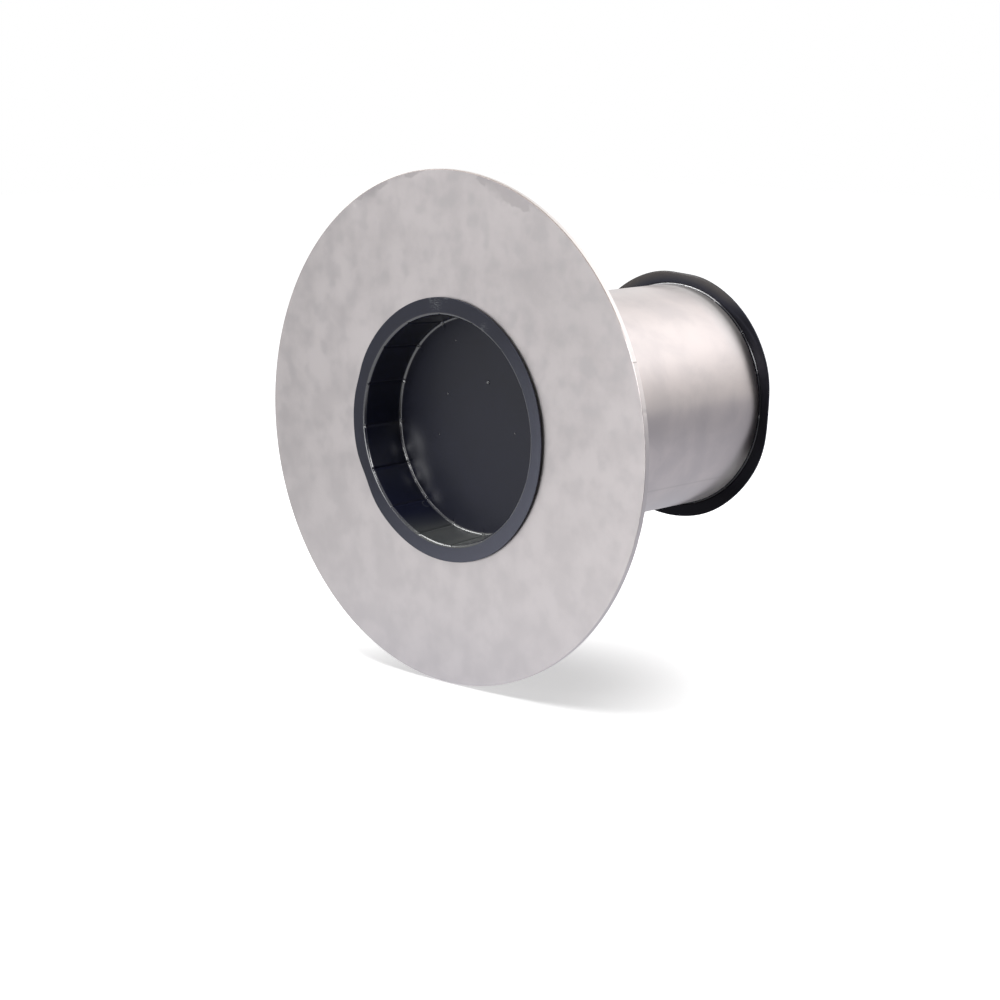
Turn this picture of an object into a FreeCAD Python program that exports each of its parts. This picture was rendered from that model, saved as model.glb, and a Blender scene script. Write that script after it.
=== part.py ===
import FreeCAD, Part
import math
import os

# Wall sleeve pipe: a round steel tube welded into a flat wall flange, with a push-in cap at each end.
# The bore runs along Y and +Z is up. The origin is on the bore's axis, in the plane of the flange's
# back face, which lies on the wall. The flange is in front of that plane, and the tube goes +Y into
# the wall.

# Sleeve tube
BORE_DIAMETER = 200.0
TUBE_WALL = 3.0
SLEEVE_LENGTH = 300.0        # flange's front face to the tube's rear end
TUBE_EDGE = 0.4              # broken edge at the rear end

# Wall flange
FLANGE_DIAMETER = 440.0
FLANGE_THICKNESS = 5.0
FLANGE_EDGE = 0.4            # broken edge round the rim of the plate
FLANGE_HOLE_GAP = 0.2        # gap all round between the plate's hole and the tube

# Weld between the plate and the tube, laid in a bevel at the back of the plate's hole
WELD_BEVEL = 3.5             # depth and width of the bevel
WELD_HEIGHT = 3.2            # how far the bead climbs the tube past the plate
WELD_CROWN = 0.5             # how far the bead bulges

# Push-in caps
CAP_SHEET = 1.2
CAP_DEPTH = 41.0             # rim's face to the floor, inside
CAP_DRAFT = 3.0              # taper of the cup's wall, degrees
CAP_WALL_GAP = 0.8           # smooth wall to the bore, at the mouth
CAP_RIM_GAP = 1.0            # back of the rim to the face that it covers
CAP_MOUTH_BEND = 1.6         # inside radius of the bend between wall and rim
CAP_FLOOR_BEND = 2.5         # radius of the corner between wall and floor, inside
BEND_STEPS = 2               # straight steps along each small bend, with their ends on the true arc

# Grip ribs pressed into the cup's wall: a ridge outside and the matching groove inside
RIB_COUNT = 16
RIB_GAP = 0.3                # top of a rib to the bore
RIB_TOP = 1.4                # width of a rib at its top
RIB_FOOT = 3.2               # width at the middle of the sheet
GROOVE_FLOOR = 0.8           # width of a groove at its bottom
GROOVE_MOUTH = 3.0           # width as far in front of the sheet as the groove is deep
RIB_INSET = 0.6              # ends of ribs and grooves to the bends at the mouth and the floor

# Rims are trimmed by hand: the edge wanders and the rim lifts, each place as
# (angle from +X towards +Z, height of the bump or dent, angular width), in degrees and millimetres
FRONT_RIM_WIDTH = 12.4       # bore to the rim's edge
FRONT_RIB_ANGLE = 3.8        # angle of the first rib
FRONT_TRIM = ((-152.0, -2.3, 9.0), (161.0, -1.0, 7.0), (78.0, 1.2, 35.0), (-62.0, 0.8, 20.0),
              (-5.0, -0.5, 16.0))
FRONT_LIFT = ((8.0, 1.1, 55.0), (-150.0, 0.5, 20.0))
REAR_RIM_WIDTH = 15.8
REAR_RIB_ANGLE = 16.2
REAR_TRIM = ((-4.0, -4.0, 16.0), (86.0, -1.5, 9.0), (-68.0, 0.7, 15.0), (24.0, -0.3, 12.0))
REAR_LIFT = ((50.0, 0.8, 35.0), (-20.0, 0.6, 30.0))
RIM_POINTS = 72              # points of the formula that each rim's edge curve goes through

# Sizes that follow from the ones above
BORE_RADIUS = BORE_DIAMETER / 2
TUBE_RADIUS = BORE_RADIUS + TUBE_WALL
HOLE_RADIUS = TUBE_RADIUS + FLANGE_HOLE_GAP
FRONT_FACE = -FLANGE_THICKNESS
REAR_END = SLEEVE_LENGTH - FLANGE_THICKNESS
RIB_HEIGHT = CAP_WALL_GAP - RIB_GAP

ORIGIN = FreeCAD.Vector(0, 0, 0)
AXIS = FreeCAD.Vector(0, 1, 0)


def point(radius, along, angle=0.0):
    turn = math.radians(angle)
    return FreeCAD.Vector(radius * math.cos(turn), along, radius * math.sin(turn))


def line(start, end):
    return Part.LineSegment(start, end).toShape()


# Ring turned from a closed outline of points in the profile plane
def turned(outline):
    profile = Part.Face(Part.makePolygon(outline + outline[:1]))
    return profile.revolve(ORIGIN, AXIS, 360)


# Tube: a plain ring with its rear edges broken
def sleeve_tube():
    return turned([
        point(BORE_RADIUS, FRONT_FACE),
        point(TUBE_RADIUS, FRONT_FACE),
        point(TUBE_RADIUS, REAR_END - TUBE_EDGE),
        point(TUBE_RADIUS - TUBE_EDGE, REAR_END),
        point(BORE_RADIUS + TUBE_EDGE, REAR_END),
        point(BORE_RADIUS, REAR_END - TUBE_EDGE),
    ])


# Flange: a flat round plate with a hole for the tube, bevelled at the back for the weld
def wall_flange():
    outside = FLANGE_DIAMETER / 2
    return turned([
        point(HOLE_RADIUS, FRONT_FACE),
        point(outside - FLANGE_EDGE, FRONT_FACE),
        point(outside, FRONT_FACE + FLANGE_EDGE),
        point(outside, -FLANGE_EDGE),
        point(outside - FLANGE_EDGE, 0.0),
        point(HOLE_RADIUS + WELD_BEVEL, 0.0),
        point(HOLE_RADIUS, -WELD_BEVEL),
    ])


# Weld: fills the bevel and climbs the tube with a rounded crown
def flange_weld():
    root = point(TUBE_RADIUS, -WELD_BEVEL)
    heel = point(HOLE_RADIUS, -WELD_BEVEL)
    toe = point(HOLE_RADIUS + WELD_BEVEL, 0.0)
    top = point(TUBE_RADIUS, WELD_HEIGHT)
    outward = FreeCAD.Vector(top.y - toe.y, toe.x - top.x, 0).normalize()
    crown = (toe + top) / 2 + outward * WELD_CROWN
    bead = Part.Arc(toe, crown, top).toShape().discretize(BEND_STEPS + 1)
    return turned([root, heel] + bead)


# Points along a rounded corner, from the side before it to the side after it
def bend(before, corner, after, radius):
    to_before = (before - corner).normalize()
    to_after = (after - corner).normalize()
    half = to_before.getAngle(to_after) / 2
    reach = radius / math.tan(half)
    inwards = (to_before + to_after).normalize()
    middle = corner + inwards * (radius / math.sin(half) - radius)
    arc = Part.Arc(corner + to_before * reach, middle, corner + to_after * reach)
    return arc.toShape().discretize(BEND_STEPS + 1)


# One side of the cap's sheet, from the middle of the floor to the end of the bend into the rim.
# A cap is drawn with its seat at y = 0, its cup towards +Y and its rim just in front of the seat.
def cap_path(inset, floor, rim, floor_bend, mouth_bend):
    fall = math.tan(math.radians(CAP_DRAFT))
    mouth = BORE_RADIUS - CAP_WALL_GAP - inset
    middle = point(0.0, floor)
    heel = point(mouth - fall * floor, floor)
    lip = point(mouth - fall * rim, rim)
    outside = point(BORE_DIAMETER, rim)
    return [middle] + bend(middle, heel, lip, floor_bend) + bend(heel, lip, outside, mouth_bend)


def swept_faces(path):
    return [line(a, b).revolve(ORIGIN, AXIS, 360) for a, b in zip(path, path[1:])]


# Sum of smooth bumps and dents at an angle
def wander(places, angle):
    total = 0.0
    for centre, height, width in places:
        off = (angle - centre + 180.0) % 360.0 - 180.0
        total += height * math.exp(-((off / width) ** 2))
    return total


# Closed edge of a trimmed rim
def rim_edge(width, trim, lift, rim):
    points = []
    for index in range(RIM_POINTS):
        angle = 360.0 * index / RIM_POINTS
        radius = BORE_RADIUS + width + wander(trim, angle)
        points.append(point(radius, rim - wander(lift, angle), angle))
    curve = Part.BSplineCurve()
    curve.interpolate(Points=points, PeriodicFlag=True)
    return curve.toShape()


def circle_edge(start):
    quarters = [point(start.x, start.y, angle) for angle in (0, 90, 180)]
    return Part.Circle(*quarters).toShape()


# Bar with sloping sides along the cup's drafted wall. Its narrow and wide faces are given by their
# depths below the wall's outer surface.
def wall_bar(narrow, narrow_depth, wide, wide_depth, start, end, angle):
    fall = math.tan(math.radians(CAP_DRAFT))
    outward = point(1.0, 0.0, angle)
    across = outward.cross(AXIS)
    foot = outward * (BORE_RADIUS - CAP_WALL_GAP - fall * start) + AXIS * start
    corners = [
        foot - outward * narrow_depth + across * (narrow / 2),
        foot - outward * wide_depth + across * (wide / 2),
        foot - outward * wide_depth - across * (wide / 2),
        foot - outward * narrow_depth - across * (narrow / 2),
    ]
    section = Part.Face(Part.makePolygon(corners + corners[:1]))
    return section.extrude((AXIS - outward * fall) * (end - start))


# Cap: a dished sheet with grip ribs and a wandering, slightly lifted rim
def push_in_cap(rim_width, trim, lift, rib_angle):
    back = -CAP_RIM_GAP
    face = back - CAP_SHEET
    floor = face + CAP_DEPTH
    under = floor + CAP_SHEET
    inset = CAP_SHEET / math.cos(math.radians(CAP_DRAFT))

    outer = cap_path(0.0, under, back, CAP_FLOOR_BEND + CAP_SHEET, CAP_MOUTH_BEND)
    inner = cap_path(inset, floor, face, CAP_FLOOR_BEND, CAP_MOUTH_BEND + CAP_SHEET)
    back_edge = rim_edge(rim_width, trim, lift, back)
    face_edge = rim_edge(rim_width, trim, lift, face)
    faces = swept_faces(outer) + swept_faces(inner)
    faces.append(Part.makeRuledSurface(circle_edge(outer[-1]), back_edge))
    faces.append(Part.makeRuledSurface(circle_edge(inner[-1]), face_edge))
    faces.append(Part.makeRuledSurface(back_edge, face_edge))
    shell = Part.makeShell(faces)
    shell.sewShape()
    cap = Part.makeSolid(shell)
    if cap.Volume < 0:
        cap.reverse()

    start = back + CAP_MOUTH_BEND + RIB_INSET
    end = floor - CAP_FLOOR_BEND - RIB_INSET
    ribs = []
    grooves = []
    bottom = inset - RIB_HEIGHT
    mouth = inset + RIB_HEIGHT
    for index in range(RIB_COUNT):
        angle = rib_angle + 360.0 * index / RIB_COUNT
        ribs.append(wall_bar(RIB_TOP, -RIB_HEIGHT, RIB_FOOT, inset / 2, start, end, angle))
        grooves.append(wall_bar(GROOVE_FLOOR, bottom, GROOVE_MOUTH, mouth, start, end, angle))
    return cap.fuse(ribs).cut(grooves)


def seated(shape, along):
    placed = shape.copy()
    placed.translate(FreeCAD.Vector(0, along, 0))
    return placed


def front_cap():
    cap = push_in_cap(FRONT_RIM_WIDTH, FRONT_TRIM, FRONT_LIFT, FRONT_RIB_ANGLE)
    return seated(cap, FRONT_FACE)


def rear_cap():
    cap = push_in_cap(REAR_RIM_WIDTH, REAR_TRIM, REAR_LIFT, REAR_RIB_ANGLE)
    return seated(cap.mirror(ORIGIN, AXIS), REAR_END)


os.makedirs("parts", exist_ok=True)
for node in (sleeve_tube, wall_flange, flange_weld, front_cap, rear_cap):
    shape = node()
    print(node.__name__, shape.ShapeType, "solids", len(shape.Solids), "valid", shape.isValid(),
          "volume", round(shape.Volume, 1), "faces", len(shape.Faces))
    shape.exportStep("parts/" + node.__name__ + ".step")
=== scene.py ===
import math
import bpy
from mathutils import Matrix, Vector


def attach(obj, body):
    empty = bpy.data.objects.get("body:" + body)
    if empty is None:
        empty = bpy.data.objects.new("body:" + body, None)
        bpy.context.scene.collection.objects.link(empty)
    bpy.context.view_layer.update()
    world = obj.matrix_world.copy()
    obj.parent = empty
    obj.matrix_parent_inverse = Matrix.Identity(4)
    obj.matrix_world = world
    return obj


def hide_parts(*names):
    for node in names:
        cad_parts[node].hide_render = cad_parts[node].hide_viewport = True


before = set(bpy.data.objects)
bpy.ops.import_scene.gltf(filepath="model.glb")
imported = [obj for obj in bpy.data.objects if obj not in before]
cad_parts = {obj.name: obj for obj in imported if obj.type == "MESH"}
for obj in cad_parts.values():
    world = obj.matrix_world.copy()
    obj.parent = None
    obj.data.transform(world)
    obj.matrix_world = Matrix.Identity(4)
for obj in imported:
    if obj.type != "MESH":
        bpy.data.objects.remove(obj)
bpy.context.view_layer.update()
scene = bpy.context.scene
print("frame loaded:", sorted(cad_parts))

# A wall sleeve: tube, welded wall flange and two push-in caps. The bore runs along +Y, and the back of
# the flange lies in the plane y = 0. Lengths are in metres, angles in degrees from +X towards +Z.


# Camera, at the photo's place

cameraValues = {
    "place": (1.4019, -1.41595, 0.31981),
    "azimuth": 43.499,
    "elevation": 10.810,
    "lens": 85.48,
    "sensor": 36.0,
    "clipEnd": 50.0,
}


def makeCamera():
    data = bpy.data.cameras.new("photoCamera")
    data.lens = cameraValues["lens"]
    data.sensor_width = cameraValues["sensor"]
    data.clip_end = cameraValues["clipEnd"]
    camera = bpy.data.objects.new("photoCamera", data)
    camera.location = cameraValues["place"]
    tilt = math.radians(90.0 - cameraValues["elevation"])
    camera.rotation_euler = (tilt, 0.0, math.radians(cameraValues["azimuth"]))
    scene.collection.objects.link(camera)
    scene.camera = camera


makeCamera()


# Node trees written as expressions

bellBase = 2.718


class Wire:
    # an output socket in a node tree; arithmetic on it adds Math nodes
    def __init__(self, tree, socket):
        self.tree = tree
        self.socket = socket

    def maths(self, operation, *values):
        return addNode(self.tree, "ShaderNodeMath", {"operation": operation}, dict(enumerate(values)))

    def __add__(self, other):
        return self.maths("ADD", self, other)

    def __radd__(self, other):
        return self.maths("ADD", other, self)

    def __sub__(self, other):
        return self.maths("SUBTRACT", self, other)

    def __rsub__(self, other):
        return self.maths("SUBTRACT", other, self)

    def __mul__(self, other):
        return self.maths("MULTIPLY", self, other)

    def __rmul__(self, other):
        return self.maths("MULTIPLY", other, self)

    def __truediv__(self, other):
        return self.maths("DIVIDE", self, other)

    def __pow__(self, other):
        return self.maths("POWER", self, other)

    def __rpow__(self, other):
        return self.maths("POWER", other, self)

    def __neg__(self):
        return self.maths("MULTIPLY", -1.0, self)

    def band(self, low, high):
        # 0 below low, 1 above high, smooth between
        return addNode(self.tree, "ShaderNodeMapRange", {"interpolation_type": "SMOOTHSTEP"},
                       {"Value": self, "From Min": low, "From Max": high})

    def bell(self, width):
        # 1 at 0, falling away to both sides
        return bellBase ** (-((self / width) ** 2.0))


# Any other node: its settings are set first, then the values or links of its sockets
def addNode(tree, kind, settings=None, sockets=None, out=0):
    node = tree.nodes.new(kind)
    for name, value in (settings or {}).items():
        setattr(node, name, value)
    for key, value in (sockets or {}).items():
        if isinstance(value, Wire):
            tree.links.new(value.socket, node.inputs[key])
        else:
            node.inputs[key].default_value = value
    return Wire(tree, node.outputs[out])


# Colours are written as three values, and sockets take four
def rgb(colour):
    return colour if isinstance(colour, Wire) else (*colour, 1.0)


def mixColour(tree, factor, first, second):
    pick = {0: factor, 6: rgb(first), 7: rgb(second)}
    return addNode(tree, "ShaderNodeMix", {"data_type": "RGBA"}, pick, out=2)


def vectorMaths(tree, operation, sockets, out=0):
    return addNode(tree, "ShaderNodeVectorMath", {"operation": operation}, sockets, out)


def noise(tree, place, scale, detail, roughness, distortion=0.0):
    sockets = {"Vector": place, "Scale": scale, "Detail": detail, "Roughness": roughness,
               "Distortion": distortion}
    return addNode(tree, "ShaderNodeTexNoise", {}, sockets)


def stretched(tree, place, scale):
    return addNode(tree, "ShaderNodeMapping", {}, {"Vector": place, "Scale": scale})


def split(tree, vector):
    node = tree.nodes.new("ShaderNodeSeparateXYZ")
    tree.links.new(vector.socket, node.inputs[0])
    return [Wire(tree, output) for output in node.outputs]


def distanceTo(tree, place, centre):
    return vectorMaths(tree, "DISTANCE", {0: place, 1: centre}, out=1)


# Sum of soft spots, each given as centre, size and strength
def spotted(tree, place, spots):
    total = 0.0
    for centre, size, strength in spots:
        total = total + strength * distanceTo(tree, place, centre).bell(size)
    return total


# Distance from the bore's axis
def fromAxis(x, z):
    return (x ** 2.0 + z ** 2.0) ** 0.5


def attribute(tree, name):
    return addNode(tree, "ShaderNodeAttribute", {"attribute_name": name}, out=2)


# Bump, laid on top of another one where under holds its Normal
def bumped(tree, height, strength, distance, under=None):
    sockets = {"Strength": strength, "Distance": distance, "Height": height}
    return addNode(tree, "ShaderNodeBump", {}, {**sockets, **(under or {})})


# Emptied node tree of a material or of the world
def emptyTree(owner):
    owner.use_nodes = True
    owner.node_tree.nodes.clear()
    return owner.node_tree


def finishTree(tree, outputKind, result):
    output = tree.nodes.new(outputKind)
    tree.links.new(result.socket, output.inputs[0])


# New material: recipe gets its tree and the object coordinates, and gives the varying inputs
def newMaterial(name, recipe, constants):
    material = bpy.data.materials.new(name)
    tree = emptyTree(material)
    place = addNode(tree, "ShaderNodeTexCoord", out=3)
    inputs = {**constants, **recipe(tree, place)}
    finishTree(tree, "ShaderNodeOutputMaterial", addNode(tree, "ShaderNodeBsdfPrincipled", {}, inputs))
    return material


# Plate: matt pickled stainless steel with soft clouds, a faint upright smear, a light cut edge, and painted
# light and shade

plateFinish = {
    "pale": (0.590, 0.555, 0.559),
    "dull": (0.532, 0.501, 0.506),
    "lowPale": (0.672, 0.636, 0.641),
    "lowDull": (0.630, 0.597, 0.603),
    "lowBand": (-0.22, 0.02),
    "patchPale": (0.513, 0.483, 0.486),
    "patchDull": (0.456, 0.429, 0.434),
    "patchPlace": (0.156, -0.005, 0.109),
    "patchSize": 0.120,
    "stain": (0.385, 0.358, 0.366),
    "stains": ((70.0, 0.0150, 9.0), (103.0, 0.0060, 6.0), (114.5, 0.0135, 3.6)),
    "stainShare": 0.60,
    "stainTear": 1.5,
    "tearScale": 80.0,
    "softScale": 45.0,
    "spot": (0.400, 0.385, 0.400),
    "spotShare": 0.22,
    "spotScale": 68.0,
    "outside": 0.220,
    "speck": (-0.1105, -0.005, 0.1850),
    "speckSize": 0.0018,
    "shade": (0.0, 0.0, 0.0),
    "shadeShares": (0.080, 0.050),
    "highBand": (0.030, 0.160),
    "leftBand": (-0.200, -0.080),
    "cut": (0.745, 0.700, 0.682),
    "cutHighlight": (0.970, 0.895, 0.880),
    "burr": (0.480, 0.418, 0.390),
    "cutStart": 0.2193,
    "tick": (0.2062, 0.0767),
    "tickColour": (0.16, 0.12, 0.11),
    "tickSize": 0.0004,
    "roughness": 0.38,
    "cloudScale": 34.0,
    "smear": (55.0, 55.0, 22.0),
    "grain": 900.0,
}


# Clouds of the pickled sheet, darker in one soft patch, with painted light that makes the plate paler low
# down
def plateClouds(tree, place, clouds):
    smear = noise(tree, stretched(tree, place, plateFinish["smear"]), 1.0, 3.0, 0.6)
    wash = (0.8 * clouds + 0.2 * smear).band(0.36, 0.64)

    def tone(dull, pale):
        return mixColour(tree, wash, plateFinish[dull], plateFinish[pale])

    # painted light: below the lowBand the plate takes the paler lowDull and lowPale tones
    upper = split(tree, place)[2].band(*plateFinish["lowBand"])
    patch = distanceTo(tree, place, plateFinish["patchPlace"]).bell(plateFinish["patchSize"])
    colour = mixColour(tree, upper, tone("lowDull", "lowPale"), tone("dull", "pale"))
    return mixColour(tree, patch, colour, tone("patchDull", "patchPale"))


# Marks on the plate: strips with a torn edge along its top, small spots and one light speck, and painted
# shade that makes its upper and left part slightly darker
def plateMarks(tree, place, colour):
    x, y, z = split(tree, place)
    angle = z.maths("ARCTAN2", z, x)
    tear = 1.0 + plateFinish["stainTear"] * (noise(tree, place, plateFinish["tearScale"], 2.0, 0.5) - 0.5)
    reach = 0.0
    for middle, depth, width in plateFinish["stains"]:
        reach = reach + depth * (angle - math.radians(middle)).bell(math.radians(width))
    soft = noise(tree, place, plateFinish["softScale"], 2.0, 0.5).band(0.40, 0.54)
    inside = plateFinish["outside"] - fromAxis(x, z)
    stain = (reach * tear - inside).band(-0.0008, 0.0014 + 0.0090 * soft)
    colour = mixColour(tree, plateFinish["stainShare"] * stain, colour, plateFinish["stain"])
    spots = 1.0 - noise(tree, place, plateFinish["spotScale"], 1.0, 0.4).band(0.26, 0.54)
    spots = spots * (0.25 + 0.75 * z.band(-0.12, 0.04))
    colour = mixColour(tree, plateFinish["spotShare"] * spots, colour, plateFinish["spot"])
    speck = distanceTo(tree, place, plateFinish["speck"]).bell(plateFinish["speckSize"])
    colour = mixColour(tree, 0.5 * speck, colour, plateFinish["lowPale"])
    # painted shade: the upper part, and the left part below it, are mixed a little towards black
    high = z.band(*plateFinish["highBand"])
    highShare, leftShare = plateFinish["shadeShares"]
    left = (1.0 - high) * (1.0 - x.band(*plateFinish["leftBand"]))
    return mixColour(tree, highShare * high + leftShare * left, colour, plateFinish["shade"])


def plateRecipe(tree, place):
    clouds = noise(tree, place, plateFinish["cloudScale"], 5.0, 0.58, 0.1)
    grain = noise(tree, place, plateFinish["grain"], 2.0, 0.7)
    x, y, z = split(tree, place)
    ring = (fromAxis(x, z) - plateFinish["cutStart"]).band(0.0, 0.0004)
    cut = ring * (0.4 + 0.6 * z.band(0.015, 0.065))
    burr = ring * (1.0 - y.band(-0.0048, -0.0045)) * z.band(0.080, 0.120)
    tickX, tickZ = plateFinish["tick"]
    tick = ring * fromAxis(x - tickX, z - tickZ).bell(plateFinish["tickSize"])
    # painted highlight: the cut edge's colour turns near-white below z 0.08, and its share grows upwards
    bright = mixColour(tree, z.band(0.080, 0.140), plateFinish["cutHighlight"], plateFinish["cut"])
    colour = plateMarks(tree, place, plateClouds(tree, place, clouds))
    colour = mixColour(tree, cut, colour, bright)
    colour = mixColour(tree, burr, colour, plateFinish["burr"])
    colour = mixColour(tree, 0.7 * tick, colour, plateFinish["tickColour"])
    rough = plateFinish["roughness"] + 0.10 * clouds + 0.06 * grain - 0.15 * cut + 0.42 * burr
    height = 0.5 * grain + 0.8 * clouds
    return {"Base Color": colour, "Roughness": rough, "Normal": bumped(tree, height, 0.07, 0.0006)}


# Tube: satin stainless sheet rolled round the bore, with a dressed seam along it, a matt rear end painted
# pale at top and bottom as painted light, and painted shade at its very end on top

tubeFinish = {
    "pale": (0.700, 0.634, 0.620),
    "dull": (0.620, 0.566, 0.560),
    "roughness": 0.25,
    "endPaintedLight": (0.840, 0.800, 0.790),
    "endBand": (0.262, 0.287),
    "paintedShadeColour": (0.100, 0.092, 0.090),
    "paintedShadeBand": (0.2835, 0.2905),
    "seamColour": (0.50, 0.47, 0.45),
    "seamAngle": -40.0,
    "seamWidth": 0.0012,
    "radius": 0.103,
    "cloudScale": 26.0,
    "lineScale": (900.0, 60.0, 900.0),
    "grain": 1100.0,
}


def tubeRecipe(tree, place):
    turn = math.radians(tubeFinish["seamAngle"])
    seamX = tubeFinish["radius"] * math.cos(turn)
    seamZ = tubeFinish["radius"] * math.sin(turn)
    x, y, z = split(tree, place)
    seam = fromAxis(x - seamX, z - seamZ).bell(tubeFinish["seamWidth"])
    clouds = noise(tree, place, tubeFinish["cloudScale"], 4.0, 0.55, 0.3)
    lines = noise(tree, stretched(tree, place, tubeFinish["lineScale"]), 1.0, 2.0, 0.6)
    grain = noise(tree, place, tubeFinish["grain"], 2.0, 0.7)
    end = y.band(*tubeFinish["endBand"])
    # matt rear end band, painted pale at top and bottom as painted light
    dulled = end * (z.band(0.030, 0.078) + (-z).band(0.030, 0.060))
    # painted shade: the last few millimetres of the tube's top are darkened
    sooty = y.band(*tubeFinish["paintedShadeBand"]) * z.band(0.010, 0.050)
    colour = mixColour(tree, clouds.band(0.35, 0.68), tubeFinish["dull"], tubeFinish["pale"])
    colour = mixColour(tree, 0.3 * seam, colour, tubeFinish["seamColour"])
    colour = mixColour(tree, dulled, colour, tubeFinish["endPaintedLight"])
    colour = mixColour(tree, 0.55 * sooty, colour, tubeFinish["paintedShadeColour"])
    rough = tubeFinish["roughness"] + 0.05 * clouds + 0.04 * lines + 0.08 * seam + 0.06 * dulled
    height = (0.10 - 0.08 * end) * grain + 0.08 * lines + 0.5 * clouds - 0.3 * seam
    return {"Base Color": colour, "Roughness": rough, "Metallic": 1.0 - 0.55 * dulled,
            "Normal": bumped(tree, height, 0.05, 0.0006)}


# Weld: silvery ripples with straw and blue heat tint at both toes

weldFinish = {
    "bead": (0.52, 0.50, 0.48),
    "straw": (0.50, 0.37, 0.22),
    "blue": (0.22, 0.25, 0.34),
    "radius": 0.1052,
    "roughness": 0.34,
    "patchScale": 160.0,
    "grain": 1500.0,
}


def weldRecipe(tree, place):
    x, y, z = split(tree, place)
    outer = (fromAxis(x, z) - weldFinish["radius"]).band(0.0, 0.0016)
    upper = y.band(0.0012, 0.0034)
    patches = noise(tree, place, weldFinish["patchScale"], 3.0, 0.6)
    grain = noise(tree, place, weldFinish["grain"], 2.0, 0.7)
    toes = (outer + upper) * patches.band(0.35, 0.62)
    tint = mixColour(tree, patches.band(0.4, 0.6), weldFinish["straw"], weldFinish["blue"])
    colour = mixColour(tree, 0.65 * toes, weldFinish["bead"], tint)
    rough = weldFinish["roughness"] + 0.2 * patches
    return {"Base Color": colour, "Roughness": rough, "Normal": bumped(tree, grain, 0.2, 0.0004)}


# Caps: semi-gloss black plastic sheet, with scuffs on the rims and a fine handled haze, and painted light and
# shade on rims and lower wall

capFinish = {
    "black": (0.0045, 0.0060, 0.0190),
    "haze": (0.0070, 0.0085, 0.0250),
    "rimPaintedSheen": (0.0860, 0.0910, 0.1250),
    "rimShare": (0.14, 4.6, -4.9),
    "rimBand": (0.0992, 0.1012),
    "dulled": 0.85,
    "paintedShadeColour": (0.0035, 0.0030, 0.0045),
    "scuff": (0.20, 0.21, 0.22),
    "dustAndLight": (0.070, 0.074, 0.070),
    "roughness": 0.42,
    "wallGloss": 0.20,
    "warm": (0.066, 0.058, 0.055),
    "line": (0.95, 0.95, 0.97),
    "lineRadius": 0.1035,
    "lineSize": 0.00045,
    "streak": (0.11705, 0.0106),
    "streakSize": 0.0009,
    "rearBand": (0.280, 0.290),
    "swells": (((-0.0905, 0.0338, -0.0315), 0.0160, 0.0094), ((-0.0767, 0.0338, -0.0567), 0.0125, 0.0065),
               ((-0.0570, 0.0338, -0.0735), 0.0090, 0.0020)),
    "scuffs": (((-0.0091, -0.0072, 0.1071), 0.0055, 1.0), ((0.0027, -0.0072, 0.1130), 0.0025, 1.0),
               ((-0.0151, -0.0072, 0.1101), 0.0025, 1.0), ((0.0469, -0.0072, 0.0913), 0.0035, 1.0)),
    "curl": (-0.0600, 0.0290, -0.0765),
    "curlSize": 0.0034,
    "curlWidth": 0.0003,
    "broadScale": 22.0,
    "fineScale": 320.0,
    "markScale": (260.0, 260.0, 1100.0),
    "streakScale": (60.0, 12.0, 60.0),
}


# Rear rim from the tube's side: painted shade darkens it and makes it metallic, less along one streak and at
# its top, where a painted warm sheen and a painted highlight line sit. It gives the colour and the painted
# shade's share.
def rearRim(tree, place, colour):
    outer = attribute(tree, "outer")
    x, y, z = split(tree, place)
    radius = fromAxis(x, z)
    angle = z.maths("ARCTAN2", z, x)
    streakRadius, streakFall = capFinish["streak"]
    streak = (radius - streakRadius + streakFall * angle).bell(capFinish["streakSize"])
    streak = streak * angle.band(0.45, 0.60) * (1.0 - angle.band(0.97, 1.02))
    # painted shade on the outer side, lighter near the top and strongest low down
    dulled = outer * (1.0 - z.band(0.072, 0.095)) * (1.0 - 0.25 * z.band(-0.03, 0.03)) * (1.0 - 0.45 * streak)
    dulled = capFinish["dulled"] * dulled + 0.10 * outer * (-z).band(0.055, 0.090)
    rearTop = outer * y.band(*capFinish["rearBand"])
    # painted sheen: a warm lighter band near the top of the rim
    warm = rearTop * z.band(0.082, 0.098) * radius.band(0.1050, 0.1150)
    # painted highlight: a bright line on the bead at the rim's top
    bright = rearTop * z.band(0.086, 0.091) * (radius - capFinish["lineRadius"]).bell(capFinish["lineSize"])
    colour = mixColour(tree, dulled, colour, capFinish["paintedShadeColour"])
    colour = mixColour(tree, warm, colour, capFinish["warm"])
    return mixColour(tree, 0.8 * bright, colour, capFinish["line"]), dulled


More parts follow.
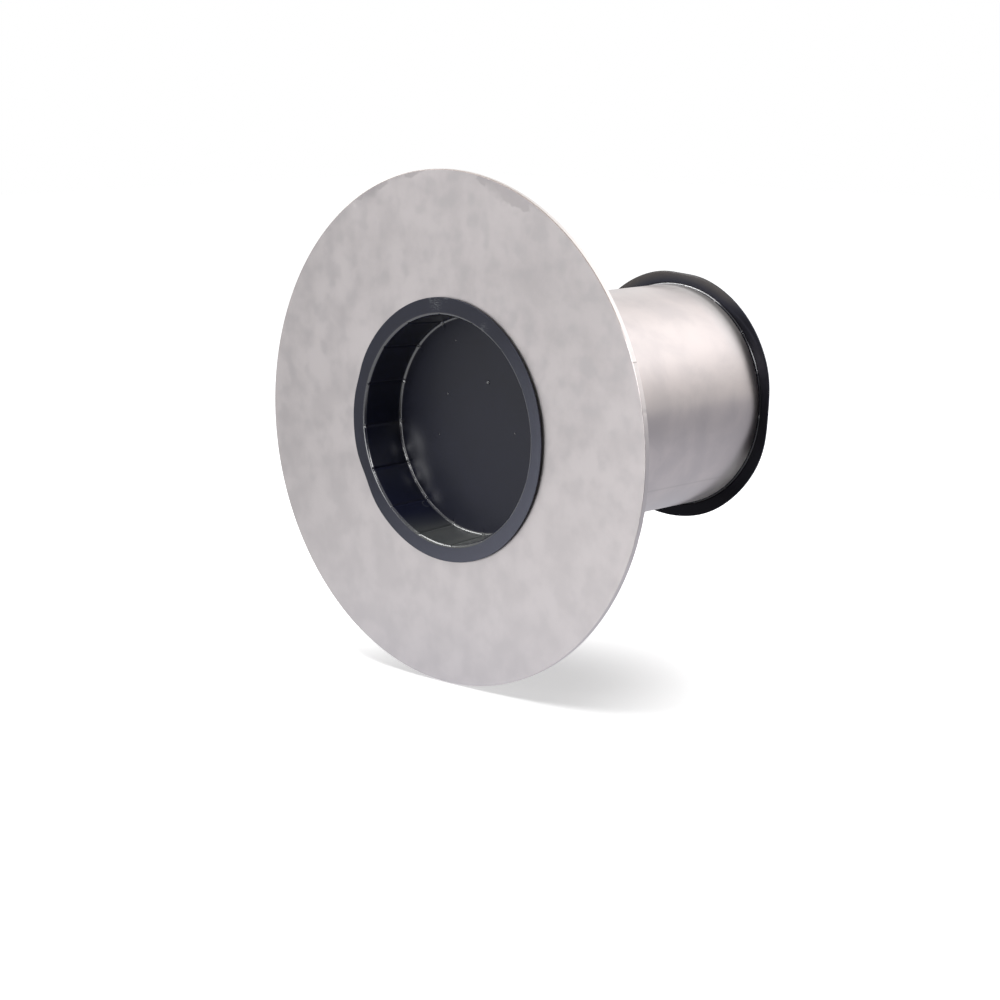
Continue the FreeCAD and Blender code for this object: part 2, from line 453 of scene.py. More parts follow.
def capRecipe(tree, place):
    gloss = attribute(tree, "gloss")
    x, y, z = split(tree, place)
    broad = noise(tree, place, capFinish["broadScale"], 4.0, 0.6, 0.6)
    fine = noise(tree, place, capFinish["fineScale"], 3.0, 0.6)
    hazy = (0.6 * broad + 0.4 * fine).band(0.42, 0.75)
    marks = noise(tree, stretched(tree, place, capFinish["markScale"]), 1.0, 4.0, 0.7).band(0.46, 0.62)
    scuffed = marks * spotted(tree, place, capFinish["scuffs"])
    curl = (distanceTo(tree, place, capFinish["curl"]) - capFinish["curlSize"]).bell(capFinish["curlWidth"])
    curl = curl * (0.0300 - y).band(0.0, 0.0010)
    # lower wall painted lighter with streaks: dust, and painted light standing in for the light falling on it
    streaks = noise(tree, stretched(tree, place, capFinish["streakScale"]), 1.0, 2.0, 0.5)
    dusty = (-z).band(0.078, 0.100) * gloss.band(0.2, 0.4) * (0.35 + streaks)
    # painted sheen: the rim is painted lighter towards the right and the bottom
    base, acrossX, upZ = capFinish["rimShare"]
    rim = fromAxis(x, z).band(*capFinish["rimBand"]) * (base + acrossX * x + upZ * z)
    colour = mixColour(tree, hazy, capFinish["black"], capFinish["haze"])
    colour = mixColour(tree, rim, colour, capFinish["rimPaintedSheen"])
    colour = mixColour(tree, dusty, colour, capFinish["dustAndLight"])
    colour = mixColour(tree, 0.5 * scuffed + 0.35 * curl, colour, capFinish["scuff"])
    colour, dulled = rearRim(tree, place, colour)
    rough = capFinish["roughness"] - capFinish["wallGloss"] * gloss + 0.06 * hazy + 0.2 * scuffed
    coat = gloss * (1.0 - 0.5 * scuffed) * (1.0 - 0.45 * (-z).band(0.050, 0.080))
    swollen = bumped(tree, spotted(tree, place, capFinish["swells"]), 1.0, 1.0)
    grain = bumped(tree, 0.2 * fine + 0.8 * broad, 0.04, 0.0008, {"Normal": swollen})
    return {"Base Color": colour, "Roughness": rough, "Coat Weight": coat, "Normal": grain,
            "Metallic": dulled}


steelConstants = {"Metallic": 1.0}
plateMetal = newMaterial("pickledPlate", plateRecipe, steelConstants)
tubeMetal = newMaterial("satinTube", tubeRecipe, steelConstants)
weldMetal = newMaterial("tintedWeld", weldRecipe, steelConstants)
capConstants = {"Specular IOR Level": 0.42, "Coat Roughness": 0.16, "Coat IOR": 1.9}
capPlastic = newMaterial("blackSheet", capRecipe, capConstants)
print("materials made")


# Mesh helpers

def around(radius, along, angle):
    turn = math.radians(angle)
    return Vector((radius * math.cos(turn), along, radius * math.sin(turn)))


def newPiece(name, vertices, faces, material):
    mesh = bpy.data.meshes.new(name)
    mesh.from_pydata(vertices, [], faces)
    mesh.update()
    mesh.materials.append(material)
    mesh.polygons.foreach_set("use_smooth", [True] * len(mesh.polygons))
    piece = bpy.data.objects.new(name, mesh)
    scene.collection.objects.link(piece)
    return piece


# Quads between rings of points. Each ring closes on itself, and closed joins the last ring to the first.
def ringFaces(ringCount, columns, closed, flip):
    faces = []
    last = ringCount if closed else ringCount - 1
    for ring in range(last):
        here = ring * columns
        there = (ring + 1) % ringCount * columns
        for column in range(columns):
            after = (column + 1) % columns
            face = (here + column, here + after, there + after, there + column)
            faces.append(face[::-1] if flip else face)
    return faces


# Points along a circular arc in the profile plane, as (radius, along)
def arcPoints(centre, size, start, end, steps):
    points = []
    for step in range(steps + 1):
        angle = math.radians(start + (end - start) * step / steps)
        points.append((centre[0] + size * math.cos(angle), centre[1] + size * math.sin(angle)))
    return points


# Straight run from one profile point to the next, without its first point
def runPoints(start, end, steps):
    return [(start[0] + (end[0] - start[0]) * step / steps, start[1] + (end[1] - start[1]) * step / steps)
            for step in range(1, steps + 1)]


# Sum of smooth bumps and dents at an angle
def wander(places, angle):
    total = 0.0
    for centre, height, width in places:
        off = (angle - centre + 180.0) % 360.0 - 180.0
        total += height * math.exp(-((off / width) ** 2))
    return total


# Applies a Geometry Nodes tree to a piece: values are set by the sockets' identifiers, then the result
# becomes a plain mesh
def applyTree(piece, tree, values):
    modifier = piece.modifiers.new(tree.name, "NODES")
    modifier.node_group = tree
    for item in tree.interface.items_tree:
        if item.item_type == "SOCKET" and item.in_out == "INPUT" and item.name in values:
            modifier[item.identifier] = values[item.name]
    bpy.context.view_layer.update()
    evaluated = piece.evaluated_get(bpy.context.evaluated_depsgraph_get())
    mesh = bpy.data.meshes.new_from_object(evaluated)
    piece.modifiers.clear()
    piece.data = mesh
    return piece


socketKinds = {int: "NodeSocketInt", float: "NodeSocketFloat"}


# New Geometry Nodes tree with a named input for each of the values, of the value's kind
def newTree(name, values):
    tree = bpy.data.node_groups.new(name, "GeometryNodeTree")
    tree.interface.new_socket("Geometry", in_out="OUTPUT", socket_type="NodeSocketGeometry")
    tree.interface.new_socket("Geometry", in_out="INPUT", socket_type="NodeSocketGeometry")
    for label, value in values.items():
        kind = socketKinds.get(type(value), "NodeSocketMaterial")
        tree.interface.new_socket(label, in_out="INPUT", socket_type=kind)
    group = tree.nodes.new("NodeGroupInput")
    return tree, {output.name: Wire(tree, output) for output in group.outputs if output.name}


def closeTree(tree, geometry, material):
    real = addNode(tree, "GeometryNodeRealizeInstances", {}, {0: geometry})
    painted = addNode(tree, "GeometryNodeSetMaterial", {}, {"Geometry": real, "Material": material})
    finishTree(tree, "NodeGroupOutput", painted)


# Sleeve tube: rolled sheet, with the edge of its rear end broken

tubeValues = {
    "bore": 0.100,
    "wall": 0.003,
    "front": -0.005,
    "rear": 0.295,
    "edge": 0.0009,
    "edgeSteps": 4,
    "lengthSteps": 12,
    "columns": 512,
}


def makeTube():
    inner = tubeValues["bore"]
    outer = inner + tubeValues["wall"]
    edge = tubeValues["edge"]
    front = tubeValues["front"]
    rear = tubeValues["rear"]
    edgeSteps = tubeValues["edgeSteps"]
    lengthSteps = tubeValues["lengthSteps"]
    profile = [(inner, front), (inner + edge, front), (outer - edge, front), (outer, front)]
    profile += runPoints((outer, front), (outer, rear - 1.5 * edge), lengthSteps)
    profile += arcPoints((outer - edge, rear - edge), edge, 0.0, 90.0, edgeSteps)
    profile += arcPoints((inner + edge, rear - edge), edge, 90.0, 180.0, edgeSteps)
    profile.append((inner, rear - 1.5 * edge))
    profile += runPoints(profile[-1], (inner, front), lengthSteps)[:-1]
    columns = tubeValues["columns"]
    vertices = [around(radius, along, 360.0 * column / columns)
                for radius, along in profile for column in range(columns)]
    return newPiece("sleeveTube", vertices, ringFaces(len(profile), columns, True, False), tubeMetal)


# Wall flange: cut plate, a little saddled, with the cutter's fine ripple round its rim

flangeValues = {
    "hole": 0.1032,
    "outside": 0.220,
    "thickness": 0.005,
    "edge": 0.0005,
    "edgeSteps": 4,
    "faceSteps": 20,
    "bevel": 0.0035,
    "saddle": (0.0005, -0.0004),
    "ripple": 0.00002,
    "rippleCount": 210,
    "marks": ((20.4, 0.0002, 0.30), (9.9, -0.0002, 0.35), (-12.5, -0.0002, 0.5), (-17.0, -0.0002, 0.7)),
    "columns": 1200,
}


def makeFlange():
    hole = flangeValues["hole"]
    outside = flangeValues["outside"]
    front = -flangeValues["thickness"]
    edge = flangeValues["edge"]
    edgeSteps = flangeValues["edgeSteps"]
    faceSteps = flangeValues["faceSteps"]
    bevel = flangeValues["bevel"]
    profile = [(hole, front)]
    profile += runPoints((hole, front), (outside - 1.5 * edge, front), faceSteps)
    profile += arcPoints((outside - edge, front + edge), edge, -90.0, 0.0, edgeSteps)
    profile += [(outside, front + 1.5 * edge), (outside, -1.5 * edge)]
    profile += arcPoints((outside - edge, -edge), edge, 0.0, 90.0, edgeSteps)
    profile.append((outside - 1.5 * edge, 0.0))
    profile += runPoints(profile[-1], (hole + bevel, 0.0), faceSteps)
    profile += runPoints((hole + bevel, 0.0), (hole, -bevel), 2)
    columns = flangeValues["columns"]
    cosine, sine = flangeValues["saddle"]
    vertices = []
    for radius, along in profile:
        share = ((radius - hole) / (outside - hole)) ** 2
        rim = 1.0 if radius > outside - 2.0 * edge else 0.0
        for column in range(columns):
            angle = 360.0 * column / columns
            turn = math.radians(angle)
            saddle = share * (cosine * math.cos(2.0 * turn) + sine * math.sin(2.0 * turn))
            cut = flangeValues["ripple"] * math.sin(turn * flangeValues["rippleCount"])
            cut = rim * (cut + wander(flangeValues["marks"], angle))
            vertices.append(around(radius + cut, along + saddle, angle))
    return newPiece("wallPlate", vertices, ringFaces(len(profile), columns, True, False), plateMetal)


# Weld bead: overlapping scales laid round a ring by Geometry Nodes, on a smooth core

weldValues = {
    "Ring radius": 0.1046,
    "Ring place": 0.0002,
    "Scales": 330,
    "Scale length": 0.0030,
    "Scale reach": 0.0031,
    "Core size": 0.0024,
    "Uneven": 0.12,
    "Seed": 7,
    "Material": weldMetal,
}

weldDetail = {"scaleColumns": 12, "scaleRings": 6, "coreColumns": 12}


def weldTree():
    tree, given = newTree("layWeldScales", weldValues)
    circle = addNode(tree, "GeometryNodeCurvePrimitiveCircle", {},
                     {"Resolution": given["Scales"], "Radius": given["Ring radius"]})
    lift = addNode(tree, "ShaderNodeCombineXYZ", {}, {"Y": given["Ring place"]})
    ring = addNode(tree, "GeometryNodeTransform", {},
                   {"Geometry": circle, "Translation": lift, "Rotation": (math.pi / 2, 0.0, 0.0)})
    tangent = addNode(tree, "GeometryNodeInputTangent")
    facing = addNode(tree, "FunctionNodeAlignEulerToVector", {"axis": "X"}, {"Vector": tangent})
    uneven = addNode(tree, "FunctionNodeRandomValue", {"data_type": "FLOAT"},
                     {2: 1.0 - given["Uneven"], 3: 1.0 + given["Uneven"], "Seed": given["Seed"]}, out=1)
    reach = given["Scale reach"] * uneven
    scale = addNode(tree, "ShaderNodeCombineXYZ", {},
                    {"X": given["Scale length"] * uneven, "Y": reach, "Z": reach})
    scaleShape = addNode(tree, "GeometryNodeMeshUVSphere", {},
                         {"Segments": weldDetail["scaleColumns"], "Rings": weldDetail["scaleRings"],
                          "Radius": 1.0})
    laid = addNode(tree, "GeometryNodeInstanceOnPoints", {},
                   {"Points": ring, "Instance": scaleShape, "Rotation": facing, "Scale": scale})
    section = addNode(tree, "GeometryNodeCurvePrimitiveCircle", {},
                      {"Resolution": weldDetail["coreColumns"], "Radius": given["Core size"]})
    core = addNode(tree, "GeometryNodeCurveToMesh", {}, {"Curve": ring, "Profile Curve": section})
    join = tree.nodes.new("GeometryNodeJoinGeometry")
    tree.links.new(laid.socket, join.inputs[0])
    tree.links.new(core.socket, join.inputs[0])
    smooth = addNode(tree, "GeometryNodeSetShadeSmooth", {}, {0: Wire(tree, join.outputs[0])})
    closeTree(tree, smooth, given["Material"])
    return tree


def makeWeld():
    return applyTree(newPiece("weldBead", [], [], weldMetal), weldTree(), weldValues)


# Push-in caps: a dished sheet as rings of points, then Geometry Nodes press the grip ribs into its wall,
# flatten it between them and let floor and wall wave a little

capValues = {
    "bore": 0.100,
    "sheet": 0.0012,
    "depth": 0.041,
    "draft": 3.0,
    "wallGap": 0.0008,
    "rimGap": 0.0010,
    "mouthBend": 0.0016,
    "floorBend": 0.0030,
    "floorSteps": (14, 5),
    "fadeSteps": 8,
    "bendSteps": 14,
    "wallSteps": 12,
    "rimSteps": (2, 12, 6),
    "lipSteps": 3,
    "outerGloss": 0.05,
    "wallGloss": 0.45,
    "ribCount": 16,
    "columnsPerRib": 36,
    "ribDense": 0.22,
    "ribFade": 0.006,
    "edgeRound": 0.0003,
    "beadRadius": 0.1040,
    "beadSize": 0.0007,
}

frontCapValues = {
    "seat": -0.005,
    "side": 1.0,
    "rimWidth": 0.0124,
    "trim": ((-152, -0.0023, 9), (161, -0.0010, 7), (78, 0.0012, 35), (-62, 0.0008, 20), (-5, -0.0005, 16)),
    "lift": ((8, 0.0011, 55), (-150, 0.0005, 20), (-95, 0.0009, 30)),
    "ribAngle": 3.8,
    "swells": ((-163, 0.090, 0.0006, 0.011), (-144, 0.089, 0.0005, 0.009), (-127, 0.089, 0.0003, 0.008)),
    "pips": ((0.0125, 0.0385, 0.0018, 0.7), (-0.0358, 0.0239, 0.0011, 0.0), (-0.0263, 0.0711, 0.0008, 0.0),
             (0.0438, -0.0025, 0.0009, 0.0), (-0.0466, -0.0130, 0.0008, 0.0),
             (-0.0519, -0.0799, 0.0012, 0.0)),
    "bead": 0.0,
}

rearCapValues = {
    "seat": 0.295,
    "side": -1.0,
    "rimWidth": 0.0158,
    "trim": ((-4, -0.0040, 16), (86, -0.0015, 9), (-68, 0.0007, 15), (24, -0.0003, 12), (55, -0.0007, 35)),
    "lift": ((58, 0.0024, 42), (-20, 0.0006, 30)),
    "ribAngle": 16.2,
    "swells": ((40, 0.090, 0.0010, 0.011), (-70, 0.089, 0.0009, 0.010)),
    "pips": (),
    "bead": 0.0007,
}

pressValues = {
    "Rib count": float(capValues["ribCount"]),
    "First rib": 0.0,
    "Rib depth": 0.0007,
    "Rib width": 0.00105,
    "Flatten": 0.00022,
    "Floor wave": 0.0006,
    "Wall wave": 0.0003,
    "Wave size": 24.0,
    "Material": capPlastic,
}

pressShares = ("ribOut", "ribAlong", "wallShare", "floorShare")


# Column angles, closer together at the ribs
def columnAngles(ribAngle):
    pitch = 360.0 / capValues["ribCount"]
    count = capValues["columnsPerRib"]
    dense = capValues["ribDense"]
    angles = []
    for rib in range(capValues["ribCount"]):
        for column in range(count):
            step = column / count - 0.5
            angles.append(ribAngle + pitch * (rib + dense * step + (1.0 - dense) * 4.0 * step ** 3))
    return angles


# Profile of the sheet, from the middle of the floor over the rim and back to the middle underneath.
# Each point is radius, along, the way out through the sheet there as an angle (0 outwards, 90 inwards
# along the bore), and its rib share, wall share, rim share, floor share, gloss and outer share.
def capProfile(rimWidth, bead):
    slope = capValues["draft"]
    draft = math.radians(slope)
    fall = math.tan(draft)
    sheet = capValues["sheet"]
    face = -capValues["rimGap"] - sheet
    floor = face + capValues["depth"]
    edge = capValues["bore"] + rimWidth
    small = capValues["floorBend"]
    mouth = capValues["mouthBend"]
    steps = capValues["bendSteps"]
    beadShare = 2.0 * bead / sheet

    innerWall = capValues["bore"] - capValues["wallGap"] - sheet / math.cos(draft)
    floorCentre = (innerWall - fall * (floor - small) - small / math.cos(draft), floor - small)
    mouthAlong = face + mouth + sheet
    mouthCentre = (innerWall - fall * mouthAlong + (mouth + sheet) / math.cos(draft), mouthAlong)

    # gloss of the inner side: dull floor and rim, bright bends, half-bright wall
    def polish(share):
        return min(1.0, 4.0 * share) - (1.0 - capValues["wallGloss"]) * max(0.0, 2.0 * share - 1.0)

    def side(floorSize, mouthSize, floorLevel, rimLevel, floorSteps, outside):
        dull = capValues["outerGloss"] * outside

        def shine(share):
            return max(dull, polish(share) * (1.0 - outside))

        bottom = arcPoints(floorCentre, floorSize, 90.0, slope, steps)
        top = arcPoints(mouthCentre, mouthSize, 180.0 + slope, 270.0, steps)
        bendStart = bottom[0][0]
        fade = capValues["ribFade"]
        fadeStart = (bendStart - fade, floorLevel)
        points = [(radius, along, 90.0, 0.0, 0.0, 0.0, 1.0, dull)
                  for radius, along in runPoints((0.0, floorLevel), fadeStart, floorSteps)]
        for radius, along in runPoints(fadeStart, bottom[0], capValues["fadeSteps"]):
            ribbed = (1.0 - (bendStart - radius) / fade) ** 2
            points.append((radius, along, 90.0, ribbed, 0.0, 0.0, 1.0, dull))
        for step, (radius, along) in enumerate(bottom[1:], 1):
            share = step / steps
            way = 90.0 + (slope - 90.0) * share
            points.append((radius, along, way, 1.0, share, 0.0, 1.0 - share, shine(share)))
        for radius, along in runPoints(bottom[-1], top[0], capValues["wallSteps"]):
            points.append((radius, along, slope, 1.0, 1.0, 0.0, 0.0, shine(1.0)))
        for step, (radius, along) in enumerate(top[1:], 1):
            share = 1.0 - step / steps
            way = 90.0 + (slope - 90.0) * share
            points.append((radius, along, way, max(share, beadShare), share, 0.0, 0.0, shine(share)))
        rimStart = top[-1][0]
        ring = capValues["beadRadius"]
        ringSize = capValues["beadSize"]
        stops = (ring - 2.5 * ringSize, ring + 2.5 * ringSize, edge - capValues["edgeRound"])
        run = [top[-1]]
        for stop, count in zip(stops, capValues["rimSteps"]):
            run += runPoints(run[-1], (stop, rimLevel), count)
        for radius, along in run[1:]:
            raised = math.exp(-((radius - ring) / ringSize) ** 2)
            ribbed = beadShare * (1.0 if radius < ring else raised)
            rimShare = (radius - rimStart) / (edge - rimStart)
            gloss = max(dull, raised * outside * bead / ringSize)
            points.append((radius, along - bead * raised, 90.0, ribbed, 0.0, rimShare, 0.0, gloss))
        return points

    innerSteps, outerSteps = capValues["floorSteps"]
    inner = side(small, mouth + sheet, floor, face, innerSteps, 0.0)
    outer = side(small + sheet, mouth, floor + sheet, face + sheet, outerSteps, 1.0)
    soft = capValues["edgeRound"]
    lip = arcPoints((edge - soft, face + soft), soft, -90.0, 0.0, capValues["lipSteps"])[1:]
    lip += arcPoints((edge - soft, face + sheet - soft), soft, 0.0, 90.0, capValues["lipSteps"])[:-1]
    inner += [(radius, along, 90.0, 0.0, 0.0, 1.0, 0.0, 0.0) for radius, along in lip]
    return [(*point, 0.0) for point in inner] + [(*point, 1.0) for point in outer[::-1]]


# Height of the soft swells of a cap's floor near its bend, each given as (angle, radius, height, size)
def raisedBy(swells, radius, angle):
    spot = around(radius, 0.0, angle)
    return sum(height * math.exp(-((spot - around(swellRadius, 0.0, swellAngle)).length / size) ** 2)
               for swellAngle, swellRadius, height, size in swells)


# Half section of a moulded pip, in shares of its size, as (radius, height), with a pit in its top where
# pit is above 0
def pipProfile(pit):
    return [(0.30, 0.62 * (1.0 - 2.0 * pit)), (0.55, 0.55), (0.80, 0.36), (1.0, 0.0), (0.6, -0.5)]


# Small moulded pip on the floor: a closed lens
def addPip(vertices, faces, centre, side, size, pit):
    columns = 14
    first = len(vertices)
    profile = pipProfile(pit)
    for radius, height in profile:
        for column in range(columns):
            spot = around(radius * size, 0.0, 360.0 * column / columns)
            vertices.append(Vector(centre) + spot - Vector((0.0, side * height * size, 0.0)))
    rings = ringFaces(len(profile), columns, False, side > 0.0)
    faces += [tuple(first + index for index in face) for face in rings]
    top = tuple(first + column for column in range(columns))
    base = tuple(first + (len(profile) - 1) * columns + column for column in range(columns))
    faces.append(top if side > 0.0 else top[::-1])
    faces.append(base[::-1] if side > 0.0 else base)


def capMesh(name, values):
    profile = capProfile(values["rimWidth"], values["bead"])
    angles = columnAngles(values["ribAngle"])
    columns = len(angles)
    side = values["side"]
    vertices = []
    shares = {label: [] for label in (*pressShares, "gloss", "outer")}
    for radius, along, way, rib, wall, rim, floor, gloss, outer in profile:
        for angle in angles:
            out = radius + rim * wander(values["trim"], angle)
            raised = along - rim * rim * wander(values["lift"], angle)
            raised -= floor * raisedBy(values["swells"], radius, angle)
            vertices.append(around(out, values["seat"] + side * raised, angle))
        shares["ribOut"] += [rib * math.cos(math.radians(way))] * columns
        shares["ribAlong"] += [side * rib * math.sin(math.radians(way))] * columns
        shares["wallShare"] += [wall] * columns
        shares["floorShare"] += [floor] * columns
        shares["gloss"] += [gloss] * columns
        shares["outer"] += [outer] * columns
    faces = ringFaces(len(profile), columns, False, side > 0.0)
    middle = len(vertices)
    for point in (profile[0], profile[-1]):
        vertices.append(around(0.0, values["seat"] + side * point[1], 0.0))
    for label, numbers in shares.items():
        numbers += {"floorShare": [1.0, 1.0], "outer": [0.0, 1.0]}.get(label, [0.0, 0.0])
    lastRing = (len(profile) - 1) * columns
    for column in range(columns):
        after = (column + 1) % columns
        near = (column, middle, after)
        far = (lastRing + column, lastRing + after, middle + 1)
        faces.append(near[::-1] if side > 0.0 else near)
        faces.append(far[::-1] if side > 0.0 else far)
    floorLevel = capValues["depth"] - capValues["rimGap"] - capValues["sheet"]
    for pipX, pipZ, size, pit in values["pips"]:
        addPip(vertices, faces, (pipX, values["seat"] + side * floorLevel, pipZ), side, size, pit)
    for label, numbers in shares.items():
        extra = {"floorShare": 1.0, "gloss": 1.0}.get(label, 0.0)
        numbers += [extra] * (len(vertices) - len(numbers))
    piece = newPiece(name, vertices, faces, capPlastic)
    for label, numbers in shares.items():
        piece.data.attributes.new(label, "FLOAT", "POINT").data.foreach_set("value", numbers)
    return piece


def pressTree():
    tree, given = newTree("pressRibs", pressValues)
    place = addNode(tree, "GeometryNodeInputPosition")
    x, y, z = split(tree, place)
    angle = z.maths("ARCTAN2", z, x)
    turns = (angle - given["First rib"]) * given["Rib count"] / (2.0 * math.pi) + 100.5
    phase = turns.maths("FRACT", turns) - 0.5
    off = phase * (2.0 * math.pi) / given["Rib count"] * fromAxis(x, z)
    rib = off.bell(given["Rib width"]) * given["Rib depth"]
    gap = phase.maths("ABSOLUTE", phase)
    flat = (1.0 - (1.0 - 2.0 * gap) ** 2.0) * given["Flatten"]
    share = {label: addNode(tree, "GeometryNodeInputNamedAttribute", {"data_type": "FLOAT"}, {"Name": label})
             for label in pressShares}
    wave = noise(tree, place, given["Wave size"], 2.0, 0.5) - 0.5
    outwards = share["ribOut"] * rib + share["wallShare"] * (wave * given["Wall wave"] - flat)
    along = share["ribAlong"] * rib + share["floorShare"] * wave * given["Floor wave"]
    across = addNode(tree, "ShaderNodeCombineXYZ", {}, {"X": x, "Z": z})
    sideways = vectorMaths(tree, "NORMALIZE", {0: across})
    push = vectorMaths(tree, "SCALE", {0: sideways, "Scale": outwards})
    dish = addNode(tree, "ShaderNodeCombineXYZ", {}, {"Y": along})
    shift = vectorMaths(tree, "ADD", {0: push, 1: dish})
    pressed = addNode(tree, "GeometryNodeSetPosition", {}, {"Geometry": given["Geometry"], "Offset": shift})
    closeTree(tree, pressed, given["Material"])
    return tree


ribPress = pressTree()


def makeCap(name, values):
    piece = capMesh(name, values)
    applyTree(piece, ribPress, {**pressValues, "First rib": math.radians(values["ribAngle"])})
    for label in pressShares:
        piece.data.attributes.remove(piece.data.attributes[label])
    return piece


tube = makeTube()
flange = makeFlange()
weld = makeWeld()
frontCap = makeCap("frontCap", frontCapValues)
rearCap = makeCap("rearCap", rearCapValues)
print("pieces made")

for piece, node, slot in (
    (tube, "sleeve_tube", "stainless_tube"),
    (flange, "wall_flange", "stainless_plate"),
    (weld, "flange_weld", "weld_bead"),
    (frontCap, "front_cap", "black_plastic"),
    (rearCap, "rear_cap", "black_plastic"),
):
    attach(piece, "root")
    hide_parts(node)
    print(piece.name, "triangles", sum(len(face.vertices) - 2 for face in piece.data.polygons))


# Studio: pale floor, white surroundings and soft lamps

studioValues = {
    "floorLevel": -0.2206,
    "floorSize": 6.0,
    "floorColour": (0.62, 0.62, 0.62),
    "nearLift": 0.44,
    "farLift": 0.95,
    "fadeCentre": (0.03, 0.02),
    "fade": (0.06, 0.24),
    "frontBand": (-0.15, 0.35),
    "frontGloss": (0.92, 0.76),
    "rearGloss": (0.64, 0.44),
    "rearTint": (0.98, 1.00, 1.08),
    "rightGloss": 0.10,
    "white": (1.0, 1.0, 1.0),
    "worldSeen": 1.0,
    "worldLevel": 0.24,
    "worldGloss": 0.74,
}

# The lamps aim at the origin where no aim is given. Without glint a lamp doesn't show in gloss, and
# without light it shows only there.
lampValues = {
    "overheadStrip": {"place": (-0.35, -0.65, 1.90), "size": (1.5, 0.5), "power": 36.0, "glint": False},
    "rightGlint": {"place": (0.88, -1.05, 0.62), "size": (1.0, 0.35), "power": 7.5, "light": False},
    "leftGlint": {"place": (-0.93, -0.67, 1.10), "size": (0.40, 1.0), "power": 12.0, "light": False},
    "frontSoft": {"place": (-0.40, -1.80, 0.10), "size": (0.9, 0.8), "power": 8.0},
    "rearWide": {"place": (-0.10, 1.55, 1.15), "size": (3.8, 2.0), "power": 6.5, "aim": (0.0, 0.1, 0.0)},
    "rearHigh": {"place": (0.45, 1.50, 1.25), "size": (2.0, 1.5), "power": 2.4, "aim": (0.0, 0.1, 0.0)},
    "rearMiddle": {"place": (0.60, 1.45, 1.20), "size": (1.1, 0.9), "power": 0.9, "aim": (0.0, 0.1, 0.0)},
}

# Dark card behind the camera, so that the glossy pieces have something dark to show on that side
cardValues = {"place": (1.75, -1.75, 0.90), "width": 4.2, "height": 2.3, "colour": (0.02, 0.02, 0.02)}


def makeLamps():
    for name, values in lampValues.items():
        data = bpy.data.lights.new(name, "AREA")
        data.shape = "RECTANGLE"
        data.size, data.size_y = values["size"]
        data.energy = values["power"]
        lamp = bpy.data.objects.new(name, data)
        lamp.visible_glossy = values.get("glint", True)
        lamp.visible_diffuse = values.get("light", True)
        lamp.location = values["place"]
        way = Vector(values.get("aim", (0.0, 0.0, 0.0))) - lamp.location
        lamp.rotation_euler = way.to_track_quat("-Z", "Y").to_euler()
        scene.collection.objects.link(lamp)


# Level that camera and glass see, the level that gloss sees, and the level that lights the object
def levelFor(tree, seen, gloss, light):
    node = tree.nodes.new("ShaderNodeLightPath")
    camera, glass, glossy = [Wire(tree, node.outputs["Is " + kind + " Ray"])
                             for kind in ("Camera", "Transmission", "Glossy")]
    return light + (camera + glass) * (seen - light) + glossy * (gloss - light)


def makeWorld():
    world = bpy.data.worlds.new("whiteRoom")
    scene.world = world
    tree = emptyTree(world)
    level = levelFor(tree, studioValues["worldSeen"], studioValues["worldGloss"], studioValues["worldLevel"])
    back = addNode(tree, "ShaderNodeBackground", {}, {"Color": rgb(studioValues["white"]), "Strength": level})
    finishTree(tree, "ShaderNodeOutputWorld", back)


# 1 in front of the object and 0 behind it
def inFront(tree, place):
    return (-split(tree, place)[1]).band(*studioValues["frontBand"])


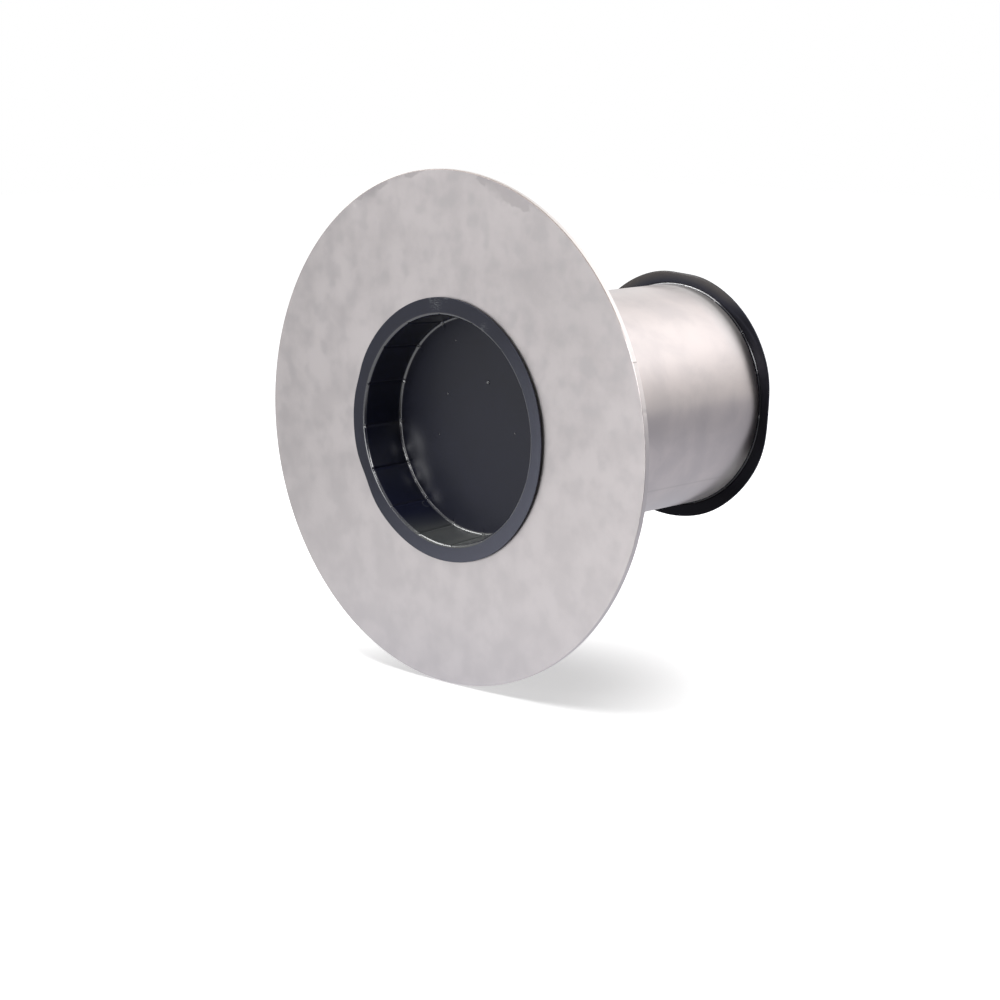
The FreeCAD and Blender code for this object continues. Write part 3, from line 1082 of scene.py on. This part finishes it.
# Level that gloss sees on the floor: pale in front, lower behind, dark between the object and the camera.
# Each pair is near the object and further away.
def floorGloss(tree, place):
    away = distanceTo(tree, place, (0.0, 0.0, studioValues["floorLevel"])).band(0.2, 1.1)
    front = inFront(tree, place)
    right = split(tree, place)[0].band(0.10, 0.55) * front
    ahead, behind = [near + (far - near) * away
                     for near, far in (studioValues["frontGloss"], studioValues["rearGloss"])]
    level = behind + (ahead - behind) * front
    return level + (studioValues["rightGloss"] - level) * right


# Pale floor that keeps the object's shadow near it and fades to white further away; gloss sees it glow at the
# painted levels of floorGloss
def makeFloor():
    size = studioValues["floorSize"]
    level = studioValues["floorLevel"]
    corners = [(-size, -size, level), (size, -size, level), (size, size, level), (-size, size, level)]
    material = bpy.data.materials.new("paleFloor")
    tree = emptyTree(material)
    place = addNode(tree, "ShaderNodeTexCoord", out=3)
    away = distanceTo(tree, place, (*studioValues["fadeCentre"], level)).band(*studioValues["fade"])
    lift = studioValues["nearLift"] + (studioValues["farLift"] - studioValues["nearLift"]) * away
    matt = addNode(tree, "ShaderNodeBsdfDiffuse", {}, {"Color": rgb(studioValues["floorColour"])})
    glow = addNode(tree, "ShaderNodeEmission", {}, {"Strength": levelFor(tree, lift, 0.0, 0.0)})
    both = addNode(tree, "ShaderNodeAddShader", {}, {0: matt, 1: glow})
    tint = mixColour(tree, inFront(tree, place), studioValues["rearTint"], studioValues["white"])
    mirrored = addNode(tree, "ShaderNodeEmission", {}, {"Color": tint, "Strength": floorGloss(tree, place)})
    glossy = addNode(tree, "ShaderNodeLightPath", out=3)
    shown = addNode(tree, "ShaderNodeMixShader", {}, {0: glossy, 1: both, 2: mirrored})
    finishTree(tree, "ShaderNodeOutputMaterial", shown)
    floor = newPiece("studioFloor", corners, [(0, 1, 2, 3)], material)


def makeCard():
    across = Vector((1.0, 1.0, 0.0)).normalized() * cardValues["width"] / 2
    rise = Vector((0.0, 0.0, cardValues["height"] / 2))
    middle = Vector(cardValues["place"])
    corners = [middle - across - rise, middle + across - rise, middle + across + rise, middle - across + rise]
    material = bpy.data.materials.new("darkCard")
    material.use_nodes = True
    material.node_tree.nodes["Principled BSDF"].inputs["Base Color"].default_value = rgb(cardValues["colour"])
    card = newPiece("cameraCard", corners, [(3, 2, 1, 0)], material)
    card.visible_camera = False


makeLamps()
makeWorld()
makeFloor()
makeCard()
scene.view_settings.view_transform = "Standard"
print("studio made")
